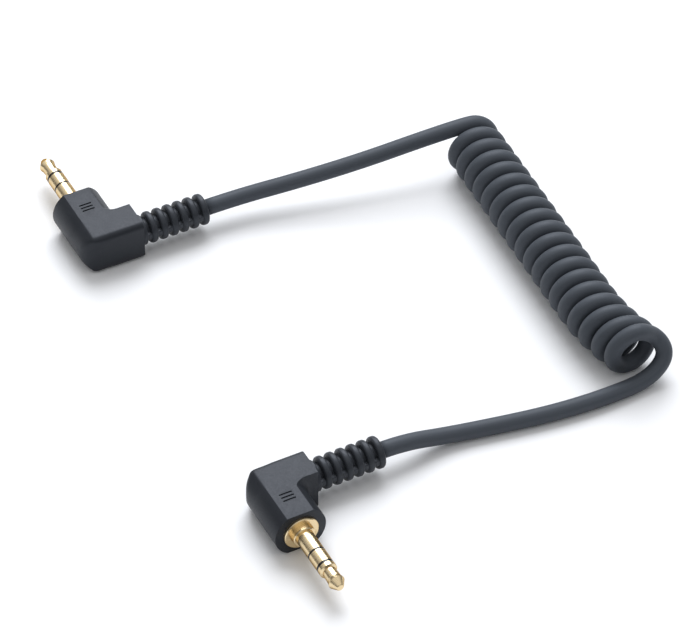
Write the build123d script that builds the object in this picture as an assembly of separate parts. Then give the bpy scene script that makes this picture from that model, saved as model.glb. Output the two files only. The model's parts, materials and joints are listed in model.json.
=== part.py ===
from build123d import *
import math
import os

# A coiled lead with a right-angled 3.5 mm three-pole plug at each end.
# Millimetres, +Z up, floor at Z = 0, origin under the middle of the two plugs' common box.
# A plug's own frame: cable along +X, pin along -Y, both axes through its origin.

os.makedirs("parts", exist_ok=True)

# ---- Cable and coil -------------------------------------------------------------------
CABLE_DIAMETER = 3.3
COIL_MEAN_RADIUS = 4.3         # of the cable's centre line in a turn
COIL_START = (51.69, 62.92)    # under the first turn's top, at the far end
COIL_HEADING = -65.8           # degrees, from the far end to the near one
COIL_LENGTH = 67.2             # of the wound stretch, from there to the near face
ARC_SHARE = 0.45               # of the shorter run, taken by each bend of a tail

# ---- Pin (3.5 mm jack), measured from the seating face at the hub ------------------------
PIN_RADIUS = 1.75
PIN_LENGTH = 14.0
SLEEVE_END = 4.5               # the sleeve ends and the first black band starts
REAR_BAND = 0.45
RING_LENGTH = 2.95
FRONT_BAND = 0.55
TIP_COLLAR = 0.85              # full-diameter part of the tip, next to the band
TIP_RELIEF = 0.25              # slope down from that collar to the neck
NECK_RADIUS = 1.30
NECK_END_RADIUS = 1.40
NOSE_RADIUS = 1.60             # widest part of the nose, behind the cone
NOSE_RISE = 0.75
NOSE_LENGTH = 1.55             # cone, widest part to the end
NOSE_END_RADIUS = 0.62
ROD_RADIUS = 0.50              # the tip's centre rod
FRONT_LINER_RADIUS = 0.75      # insulating tube on the rod
RING_TUBE_RADIUS = 1.05        # ring's tube on that liner
REAR_LINER_RADIUS = 1.30       # insulating tube between ring tube and sleeve

# ---- Pin's root and rear end, inside the plug --------------------------------------------
HUB_RADIUS = 2.3
HUB_LENGTH = 1.2
FLANGE_RADIUS = 3.5
FLANGE_THICKNESS = 0.6
BARREL_RADIUS = 2.4
BARREL_LENGTH = 4.7            # behind the flange
WASHER_RADIUS = 1.9
WASHER_THICKNESS = 0.6
LUG_RADIUS = 1.7
LUG_THICKNESS = 0.3
ROD_STUB = 0.25                # riveted end of the rod behind its lug
LUG_TAB_WIDTH = 2.0
TIP_TAB_REACH = 2.5
RING_TAB_REACH = 3.7

RIM_CHAMFER = 0.15
NOSE_ROUNDING = 0.15
STUB_RADIUS = 0.8
STRAP_END = 8.4                # strap's end on the barrel, from the cable's axis

# ---- Moulded body -----------------------------------------------------------------------
FACE_DISTANCE = 11.6           # front face from the cable's axis
BODY_HEIGHT = 8.9
LEG_RADIUS = 5.2               # round sides of the pin's leg, cut flat above and below
ARM_HALF_WIDTH = 3.4           # of the cable's leg
ARM_LENGTH = 7.8               # end of the cable's leg from the pin's axis
CORNER_RADIUS = 3.8            # outer corner, seen from above
INNER_CORNER_RADIUS = 1.6
EDGE_RADIUS = 1.3              # of the back's long edges
SHELL_WALL = 1.1               # overmould around the inner mould
MOULD_FRONT = 9.8              # inner mould's front end from the cable's axis
MOULD_ARM = 6.0                # inner mould's end along the cable
GRIP_COUNT = 3                 # plain grip grooves across both flat faces
GRIP_PITCH = 0.85
GRIP_WIDTH = 0.4
GRIP_LENGTH = 2.6
GRIP_DEPTH = 0.2
GRIP_DISTANCE = 6.4            # middle groove from the cable's axis

# ---- Strain relief -----------------------------------------------------------------------
ROOT_RADIUS = 2.4              # root of the relief, inside the body's arm
COLLAR_RADIUS = 3.1
COLLAR_LENGTH = 1.1
RIB_COUNT = 6
RIB_PITCH = 2.23
RIB_WIDTH = 1.45
RIB_RADIUS = 3.2
RIB_ROUNDING = 0.5
FIRST_RIB = 10.45              # middle of the first rib from the pin's axis
CORE_RADIUS = 2.0
LINK_WIDTH = 1.3               # two bridges in every gap, at the parting line
LINK_RADIUS = 2.85

# ---- Cable end, wires and ground clamp ---------------------------------------------------
CABLE_END = 2.2                # cable's cut end from the pin's axis
WIRE_RADIUS = 0.4
WIRE_BEND = 1.0
WIRE_SPREAD = 0.6              # tip and ring wires lie this far above and below the axis
WIRE_OFFSET = 0.35
TIP_WIRE_REACH = 1.95
RING_WIRE_REACH = 3.1
DRAIN_RADIUS = 0.3
DRAIN_OFFSET = 0.85
DRAIN_BEND = 0.45
DRAIN_LOOP = 1.0               # how far the bare wire folds back from the cable's end
DRAIN_HEIGHT = 3.4             # where it meets the strap, from the cable's axis
CLAMP_START = 2.4
CLAMP_LENGTH = 1.6
CLAMP_WALL = 0.35
STRAP_WIDTH = 1.6
STRAP_THICKNESS = 0.4

# ---- Where the two plugs lie ----------------------------------------------------------------
# Plug A is the same plug turned over, so its pin points the other way.
PLUGS = {
    "plug_a": {"at": (-21.14, 33.80), "heading": 27.3, "turned_over": True},
    "plug_b": {"at": (13.31, -33.85), "heading": 27.5, "turned_over": False},
}

# ---- Where the cable runs outside the coil: points of its centre line ------------------------
# Tail A leaves plug A's relief and climbs to the top of the coil's first turn.
TAIL_A_LEAD = 7.5              # straight out of the relief
TAIL_A_POINTS = [(17.25, 50.95, 5.7), (30.25, 54.85, 7.6), (42.75, 59.45, 9.5)]
# Tail B leaves under the coil's near end, turns back and lies on the floor to plug B's relief.
TAIL_B_SIDE = 3.0              # its start, to the right of the coil's axis
TAIL_B_POINTS = [
    (83.05, 0.5, 1.65), (82.15, -2.55, 1.65), (78.45, -5.05, 1.65), (72.65, -7.95, 1.65),
    (64.75, -11.1, 1.65), (55.65, -13.9, 1.65), (45.75, -16.85, 1.85),
]
TAIL_B_LEAD = 5.0              # straight into the relief

# ---- How the solids are cut ------------------------------------------------------------------
CUT_MARGIN = 1.0               # how far a cutting tool runs past the piece that it cuts
SAME_PLACE = 0.01              # two edges nearer than this lie in one place

# ---- Worked out from the sizes above ---------------------------------------------------------
CABLE_RADIUS = CABLE_DIAMETER / 2
AXIS_HEIGHT = BODY_HEIGHT / 2
FLANGE_FACE = FACE_DISTANCE + FLANGE_THICKNESS
SEAT = FLANGE_FACE + HUB_LENGTH
BARREL_REAR = FACE_DISTANCE - BARREL_LENGTH
RING_LUG_FRONT = BARREL_REAR - WASHER_THICKNESS
RING_LUG_REAR = RING_LUG_FRONT - LUG_THICKNESS
TIP_LUG_FRONT = RING_LUG_REAR - WASHER_THICKNESS
TIP_LUG_REAR = TIP_LUG_FRONT - LUG_THICKNESS
ROD_REAR = TIP_LUG_REAR - ROD_STUB
REAR_BAND_START = SEAT + SLEEVE_END
RING_START = REAR_BAND_START + REAR_BAND
FRONT_BAND_START = RING_START + RING_LENGTH
TIP_START = FRONT_BAND_START + FRONT_BAND
PIN_END = SEAT + PIN_LENGTH
LAST_RIB = FIRST_RIB + (RIB_COUNT - 1) * RIB_PITCH
RELIEF_END = LAST_RIB + RIB_WIDTH / 2
COIL_RADIUS = COIL_MEAN_RADIUS + CABLE_RADIUS


def turned(outline, bore):
    """A piece turned about the pin's axis: (distance from cable axis, radius) pairs over a bore."""
    distances = [distance for distance, radius in outline]
    points = [(bore, -distances[0])]
    points += [(radius, -distance) for distance, radius in outline]
    points += [(bore, -distances[-1])]
    return revolve(make_face(Polyline(*points, close=True)), Axis.Y)


def along_cable(start, end, radius, bore=0.0):
    """A round piece on the cable's axis, from start to end."""
    face = Plane(origin=(start, 0, 0), x_dir=(0, 1, 0), z_dir=(1, 0, 0)) * Circle(radius)
    solid = extrude(face, end - start)
    if bore:
        solid -= along_cable(start - CUT_MARGIN, end + CUT_MARGIN, bore)
    return solid


def block(x_range, y_range, z_range):
    """A box from three pairs of limits."""
    size = [high - low for low, high in (x_range, y_range, z_range)]
    middle = [(high + low) / 2 for low, high in (x_range, y_range, z_range)]
    return Pos(*middle) * Box(*size)


def wire(points, radius, bend):
    """A round wire along straight runs joined by equal bends."""
    path = FilletPolyline(*points, radius=bend)
    section = Plane(origin=path @ 0, z_dir=path % 0) * Circle(radius)
    return sweep(section, path)


def leg_rod(radius, height, front, back):
    """Round rod along the pin, cut flat above and below."""
    section = Circle(radius) & Rectangle(2 * radius, height)
    return extrude(Plane(origin=(0, back, 0), x_dir=(1, 0, 0), z_dir=(0, -1, 0)) * section, back + front)


def cornered_rod(radius, height, front, back, corner_radius):
    """Such a rod with its outer corner rounded, seen from above."""
    plan = block((-radius, radius), (-front, back), (-height / 2, height / 2))
    corner = plan.edges().filter_by(Axis.Z).group_by(Axis.Y)[-1].sort_by(Axis.X)[0]
    return leg_rod(radius, height, front, back) & fillet(corner, corner_radius)


def moulded_outside():
    """Outer shape of the moulded body: the pin's leg, the cable's leg and their corners."""
    rod = cornered_rod(LEG_RADIUS, BODY_HEIGHT, FACE_DISTANCE, ARM_HALF_WIDTH, CORNER_RADIUS)
    half = BODY_HEIGHT / 2
    arm = block((0, ARM_LENGTH), (-ARM_HALF_WIDTH, ARM_HALF_WIDTH), (-half, half))
    body = rod + arm
    inner = [e for e in body.edges()
             if abs(e.center().Y + ARM_HALF_WIDTH) < SAME_PLACE and e.geom_type == GeomType.CIRCLE]
    body = fillet(inner, INNER_CORNER_RADIUS)
    side = block(
        (-LEG_RADIUS - CUT_MARGIN, ARM_LENGTH + CUT_MARGIN),
        (-FACE_DISTANCE - CUT_MARGIN, ARM_HALF_WIDTH), (-half, half),
    )
    back_edges = side.edges().filter_by(Axis.X).group_by(Axis.Y)[-1]
    return body & fillet(back_edges, EDGE_RADIUS)


def grooved(body):
    """Press the grip grooves into both flat faces."""
    straight = GRIP_LENGTH - GRIP_WIDTH
    groove = extrude(SlotCenterToCenter(straight, GRIP_WIDTH), GRIP_DEPTH, both=True)
    for number in range(GRIP_COUNT):
        distance = GRIP_DISTANCE + (number - (GRIP_COUNT - 1) / 2) * GRIP_PITCH
        for side in (1, -1):
            body -= Pos(0, -distance, side * BODY_HEIGHT / 2) * groove
    return body


def inner_mould_outside():
    """Plain block of the hard inner mould, before the metal parts are cut out of it."""
    back = ARM_HALF_WIDTH - SHELL_WALL
    height = BODY_HEIGHT - 2 * SHELL_WALL
    rod = cornered_rod(LEG_RADIUS - SHELL_WALL, height, MOULD_FRONT, back, CORNER_RADIUS - SHELL_WALL)
    return rod + block((0, MOULD_ARM), (-back, back), (-height / 2, height / 2))


def sleeve_contact():
    return turned([
        (BARREL_REAR, BARREL_RADIUS), (FACE_DISTANCE, BARREL_RADIUS),
        (FACE_DISTANCE, FLANGE_RADIUS), (FLANGE_FACE - RIM_CHAMFER, FLANGE_RADIUS),
        (FLANGE_FACE, FLANGE_RADIUS - RIM_CHAMFER), (FLANGE_FACE, HUB_RADIUS),
        (SEAT - RIM_CHAMFER, HUB_RADIUS), (SEAT, HUB_RADIUS - RIM_CHAMFER), (SEAT, PIN_RADIUS),
        (REAR_BAND_START, PIN_RADIUS),
    ], REAR_LINER_RADIUS)


def rear_insulator():
    return turned([
        (BARREL_REAR, REAR_LINER_RADIUS), (REAR_BAND_START, REAR_LINER_RADIUS),
        (REAR_BAND_START, PIN_RADIUS), (RING_START, PIN_RADIUS),
    ], RING_TUBE_RADIUS)


def ring_contact():
    return turned([
        (RING_LUG_REAR, RING_TUBE_RADIUS), (RING_START, RING_TUBE_RADIUS),
        (RING_START, PIN_RADIUS), (FRONT_BAND_START, PIN_RADIUS),
    ], FRONT_LINER_RADIUS)


def front_insulator():
    return turned([
        (TIP_LUG_FRONT, FRONT_LINER_RADIUS), (FRONT_BAND_START, FRONT_LINER_RADIUS),
        (FRONT_BAND_START, PIN_RADIUS), (TIP_START, PIN_RADIUS),
    ], ROD_RADIUS)


def tip_contact():
    collar_end = TIP_START + TIP_COLLAR
    nose = PIN_END - NOSE_LENGTH
    return turned([
        (ROD_REAR, STUB_RADIUS), (TIP_LUG_REAR, STUB_RADIUS),
        (TIP_LUG_REAR, ROD_RADIUS), (TIP_START, ROD_RADIUS),
        (TIP_START, PIN_RADIUS), (collar_end, PIN_RADIUS), (collar_end + TIP_RELIEF, NECK_RADIUS),
        (nose - NOSE_RISE, NECK_END_RADIUS), (nose, NOSE_RADIUS),
        (PIN_END - NOSE_ROUNDING, NOSE_END_RADIUS + NOSE_ROUNDING), (PIN_END, NOSE_END_RADIUS),
    ], 0)


def washer(front, bore):
    """Insulating washer behind the given distance."""
    return turned([(front - WASHER_THICKNESS, WASHER_RADIUS), (front, WASHER_RADIUS)], bore)


def lug(front, bore, reach):
    """Soldering lug: a flat ring with one straight tab."""
    rear = front - LUG_THICKNESS
    tab = block((-reach, 0), (-front, -rear), (-LUG_TAB_WIDTH / 2, LUG_TAB_WIDTH / 2))
    hole = turned([(rear, bore), (front, bore)], 0)
    ring = turned([(rear, LUG_RADIUS), (front, LUG_RADIUS)], bore)
    return ring + (tab - hole)


def ground_clamp():
    """Ring around the cable's jacket, with a strap up to the sleeve's barrel."""
    outer = CABLE_RADIUS + CLAMP_WALL
    ring = along_cable(CLAMP_START, CLAMP_START + CLAMP_LENGTH, outer, CABLE_RADIUS)
    strap = block(
        (CLAMP_START, CLAMP_START + STRAP_THICKNESS),
        (-STRAP_END, -(CABLE_RADIUS + CLAMP_WALL / 2)),
        (-STRAP_WIDTH / 2, STRAP_WIDTH / 2),
    )
    jacket = along_cable(
        CLAMP_START - CUT_MARGIN, CLAMP_START + CLAMP_LENGTH + CUT_MARGIN, CABLE_RADIUS
    )
    return ring + (strap - jacket)


def signal_wire(reach, height, end):
    """Insulated wire from the cable's end to the back of a lug's tab."""
    points = [
        (CABLE_END, WIRE_OFFSET, height), (-reach, WIRE_OFFSET, height), (-reach, -end, height),
    ]
    return wire(points, WIRE_RADIUS, WIRE_BEND)


def drain_wire():
    """Bare wire folded back from the cable's end to the strap of the clamp."""
    fold = CABLE_END - DRAIN_LOOP
    points = [
        (CABLE_END, -DRAIN_OFFSET, 0), (fold, -DRAIN_OFFSET, 0),
        (fold, -DRAIN_HEIGHT, 0), (CLAMP_START, -DRAIN_HEIGHT, 0),
    ]
    return wire(points, DRAIN_RADIUS, DRAIN_BEND)


def strain_relief():
    """Ribbed sleeve on the cable, with a root held in the body's arm."""
    sleeve = along_cable(MOULD_ARM, ARM_LENGTH, ROOT_RADIUS)
    sleeve += along_cable(ARM_LENGTH, ARM_LENGTH + COLLAR_LENGTH, COLLAR_RADIUS)
    sleeve += along_cable(ARM_LENGTH, RELIEF_END, CORE_RADIUS)
    for side in (1, -1):
        sleeve += block(
            (ARM_LENGTH + COLLAR_LENGTH / 2, LAST_RIB),
            sorted((side * CABLE_RADIUS, side * LINK_RADIUS)),
            (-LINK_WIDTH / 2, LINK_WIDTH / 2),
        )
    rib = along_cable(-RIB_WIDTH / 2, RIB_WIDTH / 2, RIB_RADIUS)
    rib = fillet(rib.edges().filter_by(GeomType.CIRCLE), RIB_ROUNDING)
    for number in range(RIB_COUNT):
        sleeve += Pos(FIRST_RIB + number * RIB_PITCH, 0, 0) * rib
    return sleeve - along_cable(MOULD_ARM - CUT_MARGIN, RELIEF_END + CUT_MARGIN, CABLE_RADIUS)


def plug_pieces():
    """Every solid of one plug, in the plug's own frame."""
    inside = {
        "sleeve_contact": sleeve_contact(),
        "rear_insulator": rear_insulator(),
        "ring_contact": ring_contact(),
        "front_insulator": front_insulator(),
        "tip_contact": tip_contact(),
        "rear_washer": washer(BARREL_REAR, RING_TUBE_RADIUS),
        "ring_lug": lug(RING_LUG_FRONT, RING_TUBE_RADIUS, RING_TAB_REACH),
        "front_washer": washer(RING_LUG_REAR, FRONT_LINER_RADIUS),
        "tip_lug": lug(TIP_LUG_FRONT, ROD_RADIUS, TIP_TAB_REACH),
        "ground_clamp": ground_clamp(),
        "tip_wire": signal_wire(TIP_WIRE_REACH, WIRE_SPREAD, TIP_LUG_REAR),
        "ring_wire": signal_wire(RING_WIRE_REACH, -WIRE_SPREAD, RING_LUG_REAR),
        "ground_wire": drain_wire(),
    }
    relief = strain_relief()
    jacket = along_cable(CABLE_END, ARM_LENGTH + CUT_MARGIN, CABLE_RADIUS)
    bore = turned([(ROD_REAR, PIN_RADIUS), (SEAT, PIN_RADIUS)], 0)
    mould = inner_mould_outside()
    body = grooved(moulded_outside()) - mould - bore - relief - jacket - inside["sleeve_contact"]
    for piece in inside.values():
        mould -= piece
    mould -= jacket
    cable_end = along_cable(CABLE_END, RELIEF_END, CABLE_RADIUS)
    return {
        "body": body, "inner_mould": mould, "strain_relief": relief, "cable_end": cable_end, **inside,
    }


def plug_location(plug):
    """Where a plug's own frame lies in the whole lead's frame."""
    x, y = plug["at"]
    place = Pos(x, y, AXIS_HEIGHT) * Rot(0, 0, plug["heading"])
    return place * Rot(180, 0, 0) if plug["turned_over"] else place


def on_cable_axis(plug, past_relief):
    """A point on the plug's cable axis, so far past the relief, in the whole lead's frame."""
    return tuple((plug_location(plug) * Pos(RELIEF_END + past_relief, 0, 0)).position)


def cable_tube(points):
    """The cable along straight runs joined by arcs as large as the runs allow."""
    corners = [Vector(*point) for point in points]
    runs = [b - a for a, b in zip(corners, corners[1:])]
    radii = []
    for before, after in zip(runs, runs[1:]):
        turn = math.radians(before.get_angle(after))
        radii.append(ARC_SHARE * min(before.length, after.length) / math.tan(turn / 2))
    path = FilletPolyline(*points, radius=radii)
    section = Plane(origin=path @ 0, z_dir=path % 0) * Circle(CABLE_RADIUS)
    tube = sweep(section, path)
    expected = math.pi * CABLE_RADIUS ** 2 * path.length
    print("radii", [round(radius, 1) for radius in radii], "length", round(path.length, 1))
    print("volume", round(tube.volume, 1), "section times length", round(expected, 1))
    return tube


def coil_place():
    """Frame of the coil: X along its axis, its turns' lowest point on the floor."""
    x, y = COIL_START
    return Pos(x, y, COIL_RADIUS) * Rot(0, 0, COIL_HEADING)


def coil():
    """The wound stretch, as one thick tube of the coil's outer diameter."""
    return coil_place() * along_cable(
        -CABLE_RADIUS, COIL_LENGTH, COIL_RADIUS, COIL_MEAN_RADIUS - CABLE_RADIUS
    )


def tail_a():
    plug = PLUGS["plug_a"]
    top = (coil_place() * Pos(0, 0, COIL_MEAN_RADIUS)).position
    return cable_tube([
        on_cable_axis(plug, 0), on_cable_axis(plug, TAIL_A_LEAD), *TAIL_A_POINTS, tuple(top),
    ])


def tail_b():
    plug = PLUGS["plug_b"]
    start = (coil_place() * Pos(COIL_LENGTH, TAIL_B_SIDE, CABLE_RADIUS - COIL_RADIUS)).position
    return cable_tube([
        tuple(start), *TAIL_B_POINTS, on_cable_axis(plug, TAIL_B_LEAD), on_cable_axis(plug, 0),
    ])


for name, solid in {"coil": coil(), "tail_a": tail_a(), "tail_b": tail_b()}.items():
    print(name, len(solid.solids()), round(solid.volume, 2), solid.is_valid)
    export_step(solid, f"parts/{name}.step")

pieces = plug_pieces()
for plug_name, plug in PLUGS.items():
    place = plug_location(plug)
    for piece_name, piece in pieces.items():
        solids = piece.solids()
        print(plug_name, piece_name, len(solids), round(piece.volume, 2), piece.is_valid)
        export_step(place * piece, f"parts/{plug_name}_{piece_name}.step")
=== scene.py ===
# %% [markdown]
# # A coiled release lead with two right-angled jack plugs
#
# The lead lies on a pale table. Two moulded plugs hold gold-plated 3.5 mm pins, each plug
# lets the cable out through a ribbed sleeve, and most of the cable is wound into a tight
# coil that stretches and springs back. The hard parts come from the CAD model and stay
# where it puts them. This lesson adds the cable, softens the mouldings and gives every
# surface its finish.

# %% Load the frame
import json
import math

import bmesh
import bpy
from mathutils import Matrix, Vector

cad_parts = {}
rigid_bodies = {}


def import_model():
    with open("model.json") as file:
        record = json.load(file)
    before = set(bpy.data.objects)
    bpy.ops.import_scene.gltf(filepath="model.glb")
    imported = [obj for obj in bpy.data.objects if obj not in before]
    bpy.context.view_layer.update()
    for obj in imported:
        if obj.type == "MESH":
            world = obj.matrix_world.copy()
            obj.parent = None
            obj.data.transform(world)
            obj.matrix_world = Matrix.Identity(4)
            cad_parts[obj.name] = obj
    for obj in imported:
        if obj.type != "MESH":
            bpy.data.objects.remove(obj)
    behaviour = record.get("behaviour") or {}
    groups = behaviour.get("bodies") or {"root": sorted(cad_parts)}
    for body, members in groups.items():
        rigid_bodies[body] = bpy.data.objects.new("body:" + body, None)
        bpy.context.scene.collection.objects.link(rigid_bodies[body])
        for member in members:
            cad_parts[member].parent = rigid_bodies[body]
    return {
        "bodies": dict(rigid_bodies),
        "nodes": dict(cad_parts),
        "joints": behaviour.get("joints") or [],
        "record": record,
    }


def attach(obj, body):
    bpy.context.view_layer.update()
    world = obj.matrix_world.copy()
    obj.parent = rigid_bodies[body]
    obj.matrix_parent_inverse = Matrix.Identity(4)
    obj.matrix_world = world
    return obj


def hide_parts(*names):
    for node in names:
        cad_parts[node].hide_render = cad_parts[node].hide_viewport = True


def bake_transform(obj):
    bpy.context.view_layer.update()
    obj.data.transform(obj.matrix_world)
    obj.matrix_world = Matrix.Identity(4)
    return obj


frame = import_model()
nodes = frame["nodes"]
scene = bpy.context.scene
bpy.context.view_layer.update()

# %% [markdown]
# ## Camera
#
# A long lens far away keeps the two plugs nearly the same size, as a product picture does.
# The camera looks down at a little under half a right angle, so that the flat tops of the
# plugs and the whole row of turns show. It comes first, because the cable is laid out for
# this view.

# %% Camera
AIM = Vector((0.02766, 0.01730, 0.0))   # the point of the table that the lens looks at
CAMERA_DISTANCE = 0.8
CAMERA_ELEVATION = math.radians(43.5)
LENS = 211.9                            # in millimetres, as is the sensor's width
SENSOR = 36.0
CLIP_START = 0.05

bpy.ops.object.camera_add()
camera = bpy.context.object
camera.data.sensor_fit = "HORIZONTAL"
camera.data.sensor_width = SENSOR
camera.data.lens = LENS
camera.data.clip_start = CLIP_START
back = Vector((0, -math.cos(CAMERA_ELEVATION), math.sin(CAMERA_ELEVATION)))
camera.location = AIM + CAMERA_DISTANCE * back
camera.rotation_euler = (math.pi / 2 - CAMERA_ELEVATION, 0, 0)
scene.camera = camera
print("camera at", [round(x, 3) for x in camera.location])

# %% [markdown]
# ## Where each plug lies
#
# Both plugs are the same moulding. Each has a frame of its own: the cable leaves along X,
# the pin points along minus Y, and the two axes cross at the origin, half way up the body.
# The far plug is the near one turned over, so its pin points away from the viewer.

# %% Plug frames
MM = 0.001
BODY_HEIGHT = 8.9 * MM
RELIEF_END = 22.325 * MM          # end of the ribbed sleeve, from the pin's axis
PLUGS = {
    "plug_a": {"at": (-0.02114, 0.03380), "heading": 27.3, "turned_over": True},
    "plug_b": {"at": (0.01331, -0.03385), "heading": 27.5, "turned_over": False},
}


def plug_frame(name):
    """Matrix from a plug's own frame to the whole lead's frame."""
    plug = PLUGS[name]
    place = Matrix.Translation((*plug["at"], BODY_HEIGHT / 2))
    place @= Matrix.Rotation(math.radians(plug["heading"]), 4, "Z")
    return place @ Matrix.Rotation(math.pi, 4, "X") if plug["turned_over"] else place


def past_relief(name, distance):
    """A point on the cable's axis, so far outside the plug's ribbed sleeve."""
    return plug_frame(name) @ Vector((RELIEF_END + distance, 0, 0))


for name in PLUGS:
    print(name, "cable leaves at", [round(x, 4) for x in past_relief(name, 0)])

# %% [markdown]
# ## The cable's route
#
# The cable is one piece from plug to plug: a free stretch that rises to the top of the
# coil, eighteen close turns, a last open loop that drops to the table, and a second free
# stretch that lies on the table. One smooth NURBS line carries all of it. The free
# stretches need only a few control points. The turns are worked out by a loop, sixteen
# control points to a turn. A quadratic NURBS line runs through the middles of its control
# polygon's sides, so the turns' control points stand a little further out than the cable.
# A wound coil is never quite regular: its last turns lean to the side and open a little
# towards the loose loop.

# %% Route of the cable
CABLE_DIAMETER = 3.3 * MM
CABLE_RADIUS = CABLE_DIAMETER / 2
TURN_RADIUS = 4.3 * MM            # of the cable's centre line in a turn
COIL_START = Vector((0.05169, 0.06292, 0))
COIL_HEADING = math.radians(-65.8)
TURNS = 18
TURN_PITCH = 3.811 * MM
POINTS_PER_TURN = 16
LEAN_TURNS, LEAN = 4.2, 3.0 * MM          # how many last turns lean, and how far
OPENING_TURNS, OPENING = 1.3, 0.5 * MM    # how many open up, and by how much

TAIL_A_LEAD = 7.5 * MM
TAIL_A = [(0.01725, 0.05095, 0.0057), (0.03025, 0.05485, 0.0076), (0.04275, 0.05945, 0.0095)]
LAST_LOOP = [
    (0.08533, 0.00368, 0.0086), (0.08708, 0.00287, 0.0070), (0.0877, 0.00199, 0.0052),
    (0.08696, 0.00073, 0.0035), (0.08483, -0.00111, 0.0021), (0.08215, -0.00295, 0.00165),
]
TAIL_B = [
    (0.07845, -0.00505, 0.00165), (0.07265, -0.00795, 0.00165), (0.06475, -0.0111, 0.00165),
    (0.05565, -0.0139, 0.00165), (0.04575, -0.01685, 0.00185),
]
TAIL_B_LEAD = 5.0 * MM

along = Vector((math.cos(COIL_HEADING), math.sin(COIL_HEADING), 0))
across = Vector((-along.y, along.x, 0))


def eased(turn, last_turns):
    """0 before the last so many turns, then rising to 1 at the coil's end."""
    return max(0.0, (turn - TURNS + last_turns) / last_turns) ** 2


def turn_point(turn):
    """Centre of the cable after so many turns from the coil's far end, starting at its top."""
    radius = TURN_RADIUS + OPENING * eased(turn, OPENING_TURNS)
    axis = COIL_START + along * TURN_PITCH * turn + across * LEAN * eased(turn, LEAN_TURNS)
    axis.z = CABLE_RADIUS + radius
    outward = radius / math.cos(math.pi / POINTS_PER_TURN)
    angle = 2 * math.pi * turn
    return axis + outward * (math.cos(angle) * Vector((0, 0, 1)) + math.sin(angle) * across)


coil_points = [turn_point(step / POINTS_PER_TURN) for step in range(TURNS * POINTS_PER_TURN + 1)]
route = [past_relief("plug_a", 0), past_relief("plug_a", TAIL_A_LEAD), *map(Vector, TAIL_A)]
coil_first = len(route)
route += coil_points
coil_last = len(route)
route += [*map(Vector, LAST_LOOP), *map(Vector, TAIL_B)]
route += [past_relief("plug_b", TAIL_B_LEAD), past_relief("plug_b", 0)]
print("control points:", len(route))

# %% [markdown]
# ## From the route to a line of points
#
# The curve is left bare, without a bevel, and Blender is asked for its points. Everything
# that follows the cable is then built on those points. The order and the end knots are set
# after the points are there, because a spline with too few points drops back to straight
# runs.

# %% NURBS line
LINE_STEPS = 6                    # points between two control points


def line_of(points, steps):
    """Points along the smooth line that the control points pull towards themselves."""
    data = bpy.data.curves.new("cable_line", "CURVE")
    data.dimensions = "3D"
    data.resolution_u = steps
    spline = data.splines.new("NURBS")
    spline.points.add(len(points) - 1)
    for target, point in zip(spline.points, points):
        target.co = (*point, 1.0)
    spline.order_u = 3
    spline.use_endpoint_u = True
    bare = bpy.data.objects.new("cable_line", data)
    scene.collection.objects.link(bare)
    bpy.context.view_layer.update()
    graph = bpy.context.evaluated_depsgraph_get()
    mesh = bpy.data.meshes.new_from_object(bare.evaluated_get(graph))
    line = [vertex.co.copy() for vertex in mesh.vertices]
    bpy.data.objects.remove(bare)
    bpy.data.meshes.remove(mesh)
    return line


cable_line = line_of(route, LINE_STEPS)
distances = [0.0]
for before, after in zip(cable_line, cable_line[1:]):
    distances.append(distances[-1] + (after - before).length)
cable_length = distances[-1]
print("cable:", len(cable_line), "points,", round(1000 * cable_length), "mm")

# %% [markdown]
# ## The cable's round jacket
#
# The jacket is a tube of rings, one ring for each point of the line. Each ring is carried on
# from the one before with as little twist as possible, so that a pattern on the tube does not
# spin. The UV map is in real metres: across is the way round the jacket, up is the way along
# the cable.

# %% Jacket mesh
JACKET_SIDES = 22


def ring_frames(line):
    """For each point, two directions square to the line, carried along without twist."""
    frames = []
    side = (line[1] - line[0]).orthogonal().normalized()
    for index in range(len(line)):
        ahead = line[min(index + 1, len(line) - 1)] - line[max(index - 1, 0)]
        ahead.normalize()
        side = (side - ahead * side.dot(ahead)).normalized()
        frames.append((side.copy(), ahead.cross(side)))
    return frames


def tube(name, line, lengths, radius, sides):
    """A closed round tube along a line, with a UV map in metres."""
    shape = bmesh.new()
    uv_layer = shape.loops.layers.uv.new("jacket")
    rings = []
    for point, (side, up) in zip(line, ring_frames(line)):
        ring = []
        for step in range(sides):
            angle = 2 * math.pi * step / sides
            outward = math.cos(angle) * side + math.sin(angle) * up
            ring.append(shape.verts.new(point + radius * outward))
        rings.append(ring)
    around = 2 * math.pi * radius / sides
    for index, (ring, following) in enumerate(zip(rings, rings[1:])):
        for step in range(sides):
            neighbour = (step + 1) % sides
            corner_points = (ring[step], ring[neighbour], following[neighbour], following[step])
            face = shape.faces.new(corner_points)
            face.smooth = True
            corners = [(step, index), (step + 1, index), (step + 1, index + 1), (step, index + 1)]
            for loop, (column, row) in zip(face.loops, corners):
                loop[uv_layer].uv = (column * around, lengths[row])
    shape.faces.new(reversed(rings[0]))
    shape.faces.new(rings[-1])
    mesh = bpy.data.meshes.new(name)
    shape.to_mesh(mesh)
    shape.free()
    piece = bpy.data.objects.new(name, mesh)
    scene.collection.objects.link(piece)
    return piece


cable = tube("cable", cable_line, distances, CABLE_RADIUS, JACKET_SIDES)
print("jacket faces:", len(cable.data.polygons))

# %% [markdown]
# ## Each ring's share of a stretch
#
# When the plugs are pulled apart, every turn opens by the same amount. Here each ring of the
# jacket is given its share of such a pull: none before the coil, all of it after the coil, and
# in between a share that grows along the wound length. The share is the same all round a
# ring, so a cable moved by these shares would stay round at any stretch. The shares are only
# worked out; nothing here moves the jacket by them.

# %% Stretch shares


def distance_to(place):
    """How far along the cable the point nearest to a place is."""
    nearest = min(range(len(cable_line)), key=lambda index: (cable_line[index] - place).length)
    return distances[nearest]


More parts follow.
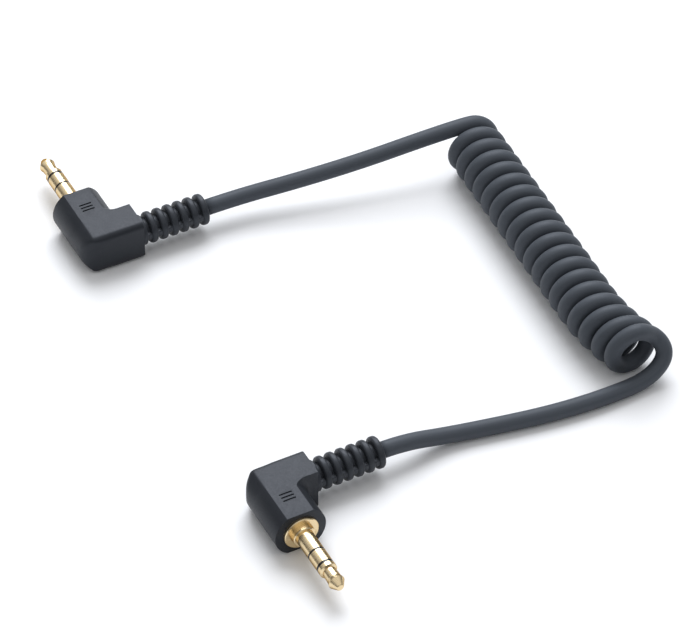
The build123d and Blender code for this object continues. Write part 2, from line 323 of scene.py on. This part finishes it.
wound_from, wound_to = distance_to(route[coil_first]), distance_to(route[coil_last])
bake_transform(cable)
shares = []
for distance in distances:
    share = (distance - wound_from) / (wound_to - wound_from)
    shares += [min(1.0, max(0.0, share))] * JACKET_SIDES
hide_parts("coil", "tail_a", "tail_b")
past_relief("plug_a", 0)
print("wound length in mm:", round(1000 * (wound_to - wound_from)))

# %% [markdown]
# ## Colours and nodes
#
# Every colour below is written as an sRGB hex value, as a colour chart gives it, and one
# function turns it into the linear numbers that Blender works with. A second small function
# adds a shader node with its settings and its links, and is all that the materials need.

# %% Colour and node helpers


def linear(code):
    """Linear RGBA of an sRGB hex colour."""
    parts = [int(code[i:i + 2], 16) / 255 for i in (1, 3, 5)]
    return (*[c / 12.92 if c <= 0.04045 else ((c + 0.055) / 1.055) ** 2.4 for c in parts], 1.0)


def add(material, kind, settings=None, links=None):
    """Add a node: settings go to its sockets or properties, links join sockets to sources."""
    tree = material.node_tree
    node = tree.nodes.new(kind)
    for key, value in (settings or {}).items():
        if isinstance(key, int) or key in node.inputs:
            node.inputs[key].default_value = value
        else:
            setattr(node, key, value)
    for key, source in (links or {}).items():
        tree.links.new(source, node.inputs[key])
    return node


def start_material(name):
    """An empty node material."""
    material = bpy.data.materials.new(name)
    material.use_nodes = True
    material.node_tree.nodes.clear()
    return material


def finish_material(material, shader):
    """Join the shader to the output."""
    add(material, "ShaderNodeOutputMaterial", links={"Surface": shader.outputs["BSDF"]})
    print("material", material.name, len(material.node_tree.nodes), "nodes")
    return material


# %% [markdown]
# ## Moulded soft PVC
#
# The plug bodies are soft PVC moulded over a hard core. The mould was spark-eroded, which
# leaves a fine even grain that turns the gloss into a broad satin sheen. The real grain is
# about a tenth of a millimetre, too fine to show, so it is drawn at a quarter. The charcoal
# pigment is even, with only the faintest clouding from the flow of the melt. Its sheen is a
# little weaker and cooler than bare plastic gives, which the specular level and tint set. The
# ribbed sleeve is the same plastic with more softener, a shade lighter and glossier.

# %% Moulded PVC
GRAIN = 0.25 * MM
GRAIN_DEPTH = 0.03 * MM
CLOUDING = 4.0 * MM
GLOSS_SPREAD = 0.05
NOISE_MIDDLE = {"From Min": 0.3, "From Max": 0.7}   # where nearly all of a noise's values lie


def moulded_pvc(name, dark, light, roughness):
    """Satin plastic with a spark-eroded grain and two close shades of pigment."""
    material = start_material(name)
    place = add(material, "ShaderNodeTexCoord").outputs["Object"]
    cloud = add(
        material, "ShaderNodeTexNoise", {"Scale": 1 / CLOUDING, "Detail": 3.0}, {"Vector": place},
    )
    colour = add(
        material, "ShaderNodeMixRGB", {"Color1": linear(dark), "Color2": linear(light)},
        {"Fac": cloud.outputs["Fac"]},
    )
    grain = add(material, "ShaderNodeTexNoise", {"Scale": 1 / GRAIN, "Detail": 2.0}, {"Vector": place})
    sheen = add(
        material, "ShaderNodeMapRange",
        {**NOISE_MIDDLE, "To Min": roughness - GLOSS_SPREAD, "To Max": roughness + GLOSS_SPREAD},
        {"Value": grain.outputs["Fac"]},
    )
    bump = add(
        material, "ShaderNodeBump", {"Strength": 0.35, "Distance": GRAIN_DEPTH},
        {"Height": grain.outputs["Fac"]},
    )
    shader = add(
        material, "ShaderNodeBsdfPrincipled",
        {"IOR": 1.53, "Specular IOR Level": 0.4, "Specular Tint": linear("#d9dfeb")},
        {
            "Base Color": colour.outputs["Color"], "Roughness": sheen.outputs["Result"],
            "Normal": bump.outputs["Normal"],
        },
    )
    return finish_material(material, shader)


body_pvc = moulded_pvc("moulded_pvc_charcoal", "#1c1f24", "#23262b", 0.48)
relief_pvc = moulded_pvc("flexible_pvc_charcoal", "#2b2e33", "#33363b", 0.45)

# %% [markdown]
# ## Extruded polyurethane jacket
#
# The jacket is drawn through a round die, which leaves very faint lines along the cable and a
# smooth, slightly waxy face. Its UV map is in metres, so the lines are set by their real
# spacing round the cable, and the fine mottle by its real size. Polyurethane is lighter and
# duller than the moulded plugs, with a weak, cool sheen.

# %% Jacket material
DIE_LINE = 0.45 * MM
DIE_LINE_LENGTH = 30.0 * MM
MOTTLE = 0.35 * MM
MOTTLE_SHARE = 0.6                # how much the mottle adds to the lines' relief
JACKET_RELIEF = 0.02 * MM


def drawn_jacket():
    """Dull cable plastic with faint lines along the cable."""
    material = start_material("polyurethane_jacket_charcoal")
    metres = add(material, "ShaderNodeUVMap", {"uv_map": "jacket"}).outputs["UV"]
    stretched = add(
        material, "ShaderNodeMapping", {"Scale": (1 / DIE_LINE, 1 / DIE_LINE_LENGTH, 1.0)},
        {"Vector": metres},
    )
    lines = add(
        material, "ShaderNodeTexNoise", {"Scale": 1.0, "Detail": 2.0},
        {"Vector": stretched.outputs["Vector"]},
    )
    place = add(material, "ShaderNodeTexCoord").outputs["Object"]
    mottle = add(material, "ShaderNodeTexNoise", {"Scale": 1 / MOTTLE, "Detail": 2.0}, {"Vector": place})
    colour = add(
        material, "ShaderNodeMixRGB", {"Color1": linear("#454a51"), "Color2": linear("#4d5259")},
        {"Fac": lines.outputs["Fac"]},
    )
    sheen = add(
        material, "ShaderNodeMapRange", {**NOISE_MIDDLE, "To Min": 0.5, "To Max": 0.6},
        {"Value": mottle.outputs["Fac"]},
    )
    relief = add(
        material, "ShaderNodeMath", {"operation": "MULTIPLY_ADD", 1: MOTTLE_SHARE},
        {0: mottle.outputs["Fac"], 2: lines.outputs["Fac"]},
    )
    bump = add(
        material, "ShaderNodeBump", {"Strength": 0.3, "Distance": JACKET_RELIEF},
        {"Height": relief.outputs["Value"]},
    )
    shader = add(
        material, "ShaderNodeBsdfPrincipled",
        {"IOR": 1.5, "Specular IOR Level": 0.32, "Specular Tint": linear("#dde2ec")},
        {
            "Base Color": colour.outputs["Color"], "Roughness": sheen.outputs["Result"],
            "Normal": bump.outputs["Normal"],
        },
    )
    return finish_material(material, shader)


jacket = drawn_jacket()
cable.data.materials.append(jacket)

# %% [markdown]
# ## Gold plate on turned brass
#
# The pin is brass turned on a lathe, nickelled and flashed with gold. The lathe leaves rings
# round the pin, seen as a slight drag in the reflections. A plug's pin has its own heading, so
# the rings are turned to it with a Mapping node, and each plug has its own copy of the metal.
# Gold darkens to brown where it turns away from the eye. A metal's specular tint is its colour
# at a grazing angle, so the tint is brown and the base colour is pale gold.

# %% Gold plate
LATHE_RING = 0.12 * MM
ALONG_RING = 50.0 * MM            # the pattern hardly changes on its way round the pin
RING_DEPTH = 0.01 * MM


def gold_plate(plug):
    """Turned and plated metal, with its rings square to this plug's pin."""
    material = start_material(f"gold_plated_brass_{plug[-1]}")
    place = add(material, "ShaderNodeTexCoord").outputs["Object"]
    turned = add(
        material, "ShaderNodeMapping",
        {"vector_type": "TEXTURE", "Rotation": (0, 0, math.radians(PLUGS[plug]["heading"]))},
        {"Vector": place},
    )
    squeezed = add(
        material, "ShaderNodeMapping", {"Scale": (1 / ALONG_RING, 1 / LATHE_RING, 1 / ALONG_RING)},
        {"Vector": turned.outputs["Vector"]},
    )
    rings = add(
        material, "ShaderNodeTexNoise", {"Scale": 1.0, "Detail": 3.0},
        {"Vector": squeezed.outputs["Vector"]},
    )
    rough = add(
        material, "ShaderNodeMapRange", {**NOISE_MIDDLE, "To Min": 0.2, "To Max": 0.32},
        {"Value": rings.outputs["Fac"]},
    )
    bump = add(
        material, "ShaderNodeBump", {"Strength": 0.12, "Distance": RING_DEPTH},
        {"Height": rings.outputs["Fac"]},
    )
    shader = add(
        material, "ShaderNodeBsdfPrincipled",
        {"Metallic": 1.0, "Base Color": linear("#f2dcb2"), "Specular Tint": linear("#8f6a35")},
        {"Roughness": rough.outputs["Result"], "Normal": bump.outputs["Normal"]},
    )
    return finish_material(material, shader)


# %% [markdown]
# ## Small parts
#
# The black bands between the pin's contacts are glossy moulded nylon. Behind them, out of
# sight, are fibre washers, tinned lugs, a core of natural polypropylene and the wires'
# coloured insulation. Each gets its own finish all the same, because the part may be opened
# up or cut away. They share one recipe: a base colour with slight mottle, and a fine grain.

# %% Plain finishes
PLAIN_RELIEF = 0.02 * MM


def plain_finish(name, dark, light, roughness, grain, metallic=0.0):
    """One even finish: two close shades, one roughness and a fine grain."""
    material = start_material(name)
    place = add(material, "ShaderNodeTexCoord").outputs["Object"]
    mottle = add(material, "ShaderNodeTexNoise", {"Scale": 1 / grain, "Detail": 3.0}, {"Vector": place})
    colour = add(
        material, "ShaderNodeMixRGB", {"Color1": linear(dark), "Color2": linear(light)},
        {"Fac": mottle.outputs["Fac"]},
    )
    bump = add(
        material, "ShaderNodeBump", {"Strength": 0.15, "Distance": PLAIN_RELIEF},
        {"Height": mottle.outputs["Fac"]},
    )
    shader = add(
        material, "ShaderNodeBsdfPrincipled", {"Metallic": metallic, "Roughness": roughness},
        {"Base Color": colour.outputs["Color"], "Normal": bump.outputs["Normal"]},
    )
    return finish_material(material, shader)


band = plain_finish("black_nylon_band", "#0c0c0d", "#121213", 0.22, 0.4 * MM)
core = plain_finish("natural_polypropylene", "#d6d2c6", "#e2dfd5", 0.5, 0.8 * MM)
washer = plain_finish("black_fibre_washer", "#262626", "#303030", 0.7, 0.2 * MM)
tinned = plain_finish("tinned_brass", "#bdbab2", "#cfccc4", 0.35, 0.5 * MM, metallic=1.0)
red_wire = plain_finish("red_pvc_wire", "#9c211b", "#ac2a22", 0.35, 0.5 * MM)
white_wire = plain_finish("white_pvc_wire", "#dedcd5", "#ebe9e3", 0.35, 0.5 * MM)
copper = plain_finish("bare_copper", "#a9623d", "#c27a52", 0.3, 0.15 * MM, metallic=1.0)

# %% [markdown]
# ## Working on one piece at a time
#
# An operator acts on whatever is selected, and the loaded CAD nodes arrive selected. So each
# step first clears the selection and makes one piece active.

# %% Selection helpers


def only(piece):
    """Select this piece alone and make it active."""
    for other in bpy.context.view_layer.objects:
        other.select_set(False)
    piece.select_set(True)
    bpy.context.view_layer.objects.active = piece


def select_parts(piece, domain, wanted):
    """In edit mode, select just the faces or edges that the test wants."""
    shape = bmesh.from_edit_mesh(piece.data)
    bpy.ops.mesh.select_mode(type="FACE" if domain == "faces" else "EDGE")
    bpy.ops.mesh.select_all(action="DESELECT")
    chosen = [part for part in getattr(shape, domain) if wanted(part)]
    for part in chosen:
        part.select_set(True)
    bmesh.update_edit_mesh(piece.data)
    return len(chosen)


def apply_modifiers(piece):
    """Apply every modifier, top to bottom."""
    only(piece)
    for modifier in list(piece.modifiers):
        bpy.ops.object.modifier_apply(modifier=modifier.name)


# %% [markdown]
# ## Moulded bodies
#
# The body is a round rod along the pin, cut flat above and below, with a box-shaped arm for
# the cable. The CAD model has its true shape but knife-sharp edges, and no mould leaves those.
# A copy of it is merged into one skin, its flat regions are freed of needless edges, and every
# sharp edge is rounded by a little over a quarter of a millimetre. The outer corner, where the
# round leg runs into the arm, is softer still: its skin is cut into a fine grid and relaxed into
# a smooth curve.

# %% Body moulding
DOUBLES = 0.001 * MM
FLAT_WITHIN = math.radians(0.5)
EDGE_ROUNDING = 0.28 * MM
EDGE_STEPS = 4                    # faces across a rounded edge
EDGE_SHARPER_THAN = math.radians(22)
SHADED_SHARP_FROM = math.radians(20)
CORNER_FROM = Vector((-5.3, -3.0, -4.5)) * MM   # the corner's block in the plug's frame
CORNER_TO = Vector((1.4, 3.5, 4.5)) * MM
CORNER_GRID = 0.3 * MM
CORNER_SMOOTHING = 50             # rounds, each half way to the neighbours' middle


def soften_corner(piece, frame):
    """Cut the outer corner's skin into a fine grid and relax it into a smooth curve."""
    to_plug = frame.inverted()
    turn = frame.to_3x3()

    def in_corner(face, margin=0.0):
        """The corner ends along the pin and along the cable, and elsewhere with the body."""
        place = to_plug @ face.calc_center_median()
        return place.x < CORNER_TO.x - margin and place.y > CORNER_FROM.y + margin

    bpy.ops.object.mode_set(mode="EDIT")
    for plane in (Vector((CORNER_TO.x, 0, 0)), Vector((0, CORNER_FROM.y, 0))):
        bpy.ops.mesh.select_all(action="SELECT")
        bpy.ops.mesh.bisect(plane_co=frame @ plane, plane_no=turn @ plane.normalized())
    for axis in range(3):
        count = int((CORNER_TO[axis] - CORNER_FROM[axis]) / CORNER_GRID)
        for number in range(1, count + 1):
            plane, normal = Vector(), Vector()
            plane[axis] = CORNER_FROM[axis] + number * CORNER_GRID
            normal[axis] = 1.0
            select_parts(piece, "faces", in_corner)
            bpy.ops.mesh.bisect(plane_co=frame @ plane, plane_no=turn @ normal)
    select_parts(piece, "faces", lambda face: in_corner(face, margin=CORNER_GRID))
    bpy.ops.mesh.select_mode(type="VERT")
    bpy.ops.mesh.vertices_smooth(factor=0.5, repeat=CORNER_SMOOTHING)
    bpy.ops.object.mode_set(mode="OBJECT")


def moulding(plug):
    """The plug's body as it leaves the mould, made from the CAD body."""
    node = nodes[f"{plug}_body"]
    piece = node.copy()
    piece.data = node.data.copy()
    piece.name = f"{plug}_moulding"
    for key in list(piece.keys()):
        del piece[key]
    piece.parent = None
    scene.collection.objects.link(piece)
    only(piece)
    bpy.ops.object.mode_set(mode="EDIT")
    bpy.ops.mesh.select_all(action="SELECT")
    bpy.ops.mesh.remove_doubles(threshold=DOUBLES)
    bpy.ops.mesh.dissolve_limited(angle_limit=FLAT_WITHIN)
    bpy.ops.object.mode_set(mode="OBJECT")
    rounding = piece.modifiers.new("rounding", "BEVEL")
    rounding.width = EDGE_ROUNDING
    rounding.segments = EDGE_STEPS
    rounding.limit_method = "ANGLE"
    rounding.angle_limit = EDGE_SHARPER_THAN
    apply_modifiers(piece)
    soften_corner(piece, plug_frame(plug))
    bpy.ops.object.shade_smooth_by_angle(angle=SHADED_SHARP_FROM)
    piece.data.materials.clear()
    piece.data.materials.append(body_pvc)
    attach(piece, f"{plug}_end")
    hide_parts(f"{plug}_body")
    print(piece.name, len(piece.data.polygons), "faces")


for plug in PLUGS:
    moulding(plug)

# %% [markdown]
# ## Ribbed sleeve
#
# The sleeve that lets the cable out bends like a spine: six thick rings with rounded rims sit
# on a thinner core, and two small bridges in each gap hold them together. It is modelled once,
# in the plug's own frame, from turned rings and a core that are joined into one skin, and then
# copied to both plugs.

# %% Sleeve sizes
ARM_LENGTH = 7.8 * MM             # from the pin's axis to the body's end
COLLAR_RADIUS, COLLAR_LENGTH = 3.1 * MM, 1.1 * MM
COLLAR_ROUNDING = 0.3 * MM
RIB_COUNT, RIB_PITCH, RIB_WIDTH = 6, 2.23 * MM, 1.45 * MM
RIB_RADIUS = 3.2 * MM
RIM_ROUNDING, RIM_STEPS = 0.55 * MM, 6
FIRST_RIB = 10.45 * MM
CORE_RADIUS, CORE_ROUNDING = 2.0 * MM, 0.1 * MM
CORE_INSIDE_BODY = 0.5 * MM       # the core starts this deep in the body
CORE_SHORTER = 0.1 * MM           # and ends this far before the last rib's face
LINK_WIDTH, LINK_RADIUS = 1.3 * MM, 2.85 * MM
LINK_ROUNDING = 0.25 * MM
RING_SIDES = 64
ALMOST_NOTHING = 0.01 * MM


def run_along_x(edge):
    """How far an edge runs along the cable's axis."""
    return abs(edge.verts[0].co.x - edge.verts[1].co.x)


def ring_piece(start, end, radius, rounding):
    """A round disc on the cable's axis, with rounded rims."""
    bpy.ops.mesh.primitive_cylinder_add(
        vertices=RING_SIDES, radius=radius, depth=end - start,
        location=((start + end) / 2, 0, 0), rotation=(0, math.pi / 2, 0),
    )
    piece = bpy.context.object
    bpy.ops.object.transform_apply(location=True, rotation=True, scale=True)
    bpy.ops.object.mode_set(mode="EDIT")
    select_parts(piece, "edges", lambda edge: run_along_x(edge) < ALMOST_NOTHING)
    bpy.ops.mesh.bevel(offset=rounding, segments=RIM_STEPS, profile=0.5)
    bpy.ops.object.mode_set(mode="OBJECT")
    return piece


def link_piece(start, end, side):
    """The bridge between two rings, at one side of the core."""
    low, high = CORE_RADIUS / 2, LINK_RADIUS
    middle = ((start + end) / 2, side * (low + high) / 2, 0)
    bpy.ops.mesh.primitive_cube_add(size=1, location=middle)
    piece = bpy.context.object
    piece.scale = (end - start, high - low, LINK_WIDTH)
    bpy.ops.object.transform_apply(location=True, rotation=True, scale=True)
    bpy.ops.object.mode_set(mode="EDIT")
    select_parts(piece, "edges", lambda edge: run_along_x(edge) > ALMOST_NOTHING)
    bpy.ops.mesh.bevel(offset=LINK_ROUNDING, segments=EDGE_STEPS, profile=0.5)
    bpy.ops.object.mode_set(mode="OBJECT")
    return piece


def join_by_union(base, others):
    """Join pieces into one skin with Boolean modifiers."""
    for other in others:
        union = base.modifiers.new("union", "BOOLEAN")
        union.operation = "UNION"
        union.solver = "EXACT"
        union.object = other
    apply_modifiers(base)
    for other in others:
        bpy.data.objects.remove(other)
    return base


# %% [markdown]
# ## One sleeve from its pieces
#
# The core runs from inside the body to the last ring. The collar, the rings and the two
# bridges are laid on it and united with it, so that the sleeve is one closed skin, as a
# moulding is. Only the creases where one piece meets the next stay sharp in the shading.

# %% Sleeve piece
SLEEVE_SHARP_FROM = math.radians(35)

last_rib = FIRST_RIB + (RIB_COUNT - 1) * RIB_PITCH
core_start, core_end = ARM_LENGTH - CORE_INSIDE_BODY, RELIEF_END - CORE_SHORTER
sleeve_core = ring_piece(core_start, core_end, CORE_RADIUS, CORE_ROUNDING)
collar_end = ARM_LENGTH + COLLAR_LENGTH
sleeve_parts = [ring_piece(ARM_LENGTH, collar_end, COLLAR_RADIUS, COLLAR_ROUNDING)]
for number in range(RIB_COUNT):
    middle = FIRST_RIB + number * RIB_PITCH
    rib_start, rib_end = middle - RIB_WIDTH / 2, middle + RIB_WIDTH / 2
    sleeve_parts.append(ring_piece(rib_start, rib_end, RIB_RADIUS, RIM_ROUNDING))
for side in (1, -1):
    sleeve_parts.append(link_piece(ARM_LENGTH + COLLAR_LENGTH / 2, last_rib, side))
sleeve = join_by_union(sleeve_core, sleeve_parts)
only(sleeve)
bpy.ops.object.shade_smooth_by_angle(angle=SLEEVE_SHARP_FROM)
print("sleeve faces:", len(sleeve.data.polygons))

# %% [markdown]
# ## A sleeve on each plug
#
# Each plug gets a copy with a mesh of its own. The plug's frame is written into the mesh, so
# the object itself stays at the origin, unturned, as the CAD nodes do. The sleeve rides on its
# plug's end of the lead and stands for the CAD model's plainer one.

# %% Sleeves on both plugs
for plug in PLUGS:
    piece = sleeve.copy()
    piece.data = sleeve.data.copy()
    piece.name = f"{plug}_sleeve"
    scene.collection.objects.link(piece)
    piece.data.transform(plug_frame(plug))
    piece.data.materials.clear()
    piece.data.materials.append(relief_pvc)
    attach(piece, f"{plug}_end")
    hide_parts(f"{plug}_strain_relief")
    print(piece.name, len(piece.data.polygons), "faces")
bpy.data.objects.remove(sleeve)

# %% [markdown]
# ## Finishes for the CAD parts
#
# The pin's contacts, the bands and everything inside the mouldings are right as the CAD model
# has them, so they keep their shape and only take a material.

# %% CAD finishes
for plug in PLUGS:
    gold = gold_plate(plug)
    finishes = {
        "sleeve_contact": gold, "ring_contact": gold, "tip_contact": gold,
        "rear_insulator": band, "front_insulator": band, "inner_mould": core, "cable_end": jacket,
        "rear_washer": washer, "front_washer": washer, "ring_lug": tinned, "tip_lug": tinned,
        "ground_clamp": tinned, "tip_wire": red_wire, "ring_wire": white_wire, "ground_wire": copper,
    }
    for part, material in finishes.items():
        node = nodes[f"{plug}_{part}"]
        node.data.materials.clear()
        node.data.materials.append(material)
        node.material_slots[0].link = "OBJECT"
        node.material_slots[0].material = material
    print(plug, "finished parts:", len(finishes))

# %% [markdown]
# ## White table
#
# The lead lies on a white table, far larger than itself. The table lies a hair under the lead,
# so that the two never share a face. Its finish is matt white board with a fine tooth.

# %% Table
TABLE_SIZE = 4.0
TABLE_GAP = 0.02 * MM
PAPER_GRAIN = 10 / 3 * MM
PAPER_RELIEF = 0.05 * MM
bpy.ops.mesh.primitive_plane_add(size=TABLE_SIZE, location=(0, 0, -TABLE_GAP))
table = bpy.context.object
table.name = "table"
paper = start_material("white_table")
paper_grain = add(
    paper, "ShaderNodeTexNoise", {"Scale": 1 / PAPER_GRAIN, "Detail": 2.0},
    {"Vector": add(paper, "ShaderNodeTexCoord").outputs["Object"]},
)
paper_bump = add(
    paper, "ShaderNodeBump", {"Strength": 0.02, "Distance": PAPER_RELIEF},
    {"Height": paper_grain.outputs["Fac"]},
)
paper_shader = add(
    paper, "ShaderNodeBsdfPrincipled", {"Base Color": linear("#f3f4f6"), "Roughness": 0.6},
    {"Normal": paper_bump.outputs["Normal"]},
)
table.data.materials.append(finish_material(paper, paper_shader))

# %% [markdown]
# ## Lamp
#
# One broad, square lamp stands high behind the lead and faces it. It lays a soft sheen on the
# flat tops of the plugs and on every turn, and leaves the near sides dark. Its size is what
# keeps the shadows soft.

# %% Lamp
LAMP_PLACE = Vector((0.02, 0.82, 0.95))
LAMP_SIZE = 0.95
LAMP_POWER = 16.0                 # in watts

bpy.ops.object.light_add(type="AREA", location=LAMP_PLACE)
lamp = bpy.context.object
lamp.name = "key_lamp"
lamp.data.shape = "SQUARE"
lamp.data.size = LAMP_SIZE
lamp.data.energy = LAMP_POWER
lamp.data.color = linear("#f9fbff")[:3]
lamp.rotation_euler = (AIM - LAMP_PLACE).to_track_quat("-Z", "Y").to_euler()
print("lamp stands", round((AIM - LAMP_PLACE).length, 2), "m away")

# %% [markdown]
# ## Room
#
# A white room fills the shadows. Its light grows from dim at the horizon to bright overhead,
# by the height of the direction that a ray leaves in. Upright faces and the pins' flanks then
# reflect something darker than the tops do, and keep their form.

# %% Room
HORIZON_LIGHT, OVERHEAD_LIGHT = 0.12, 0.75
DIM_BELOW, BRIGHT_ABOVE = 0.1, 0.85   # height of the direction: 0 is level, 1 straight up

room = bpy.data.worlds.new("white_room")
room.use_nodes = True
direction = add(room, "ShaderNodeTexCoord").outputs["Generated"]
height = add(room, "ShaderNodeSeparateXYZ", links={"Vector": direction}).outputs["Z"]
brightness = add(
    room, "ShaderNodeMapRange",
    {
        "interpolation_type": "SMOOTHSTEP", "From Min": DIM_BELOW, "From Max": BRIGHT_ABOVE,
        "To Min": HORIZON_LIGHT, "To Max": OVERHEAD_LIGHT,
    },
    {"Value": height},
)
background = room.node_tree.nodes["Background"]
background.inputs["Color"].default_value = linear("#ffffff")
room.node_tree.links.new(brightness.outputs["Result"], background.inputs["Strength"])
scene.world = room
scene.view_settings.view_transform = "Standard"
print("room light from", HORIZON_LIGHT, "to", OVERHEAD_LIGHT)
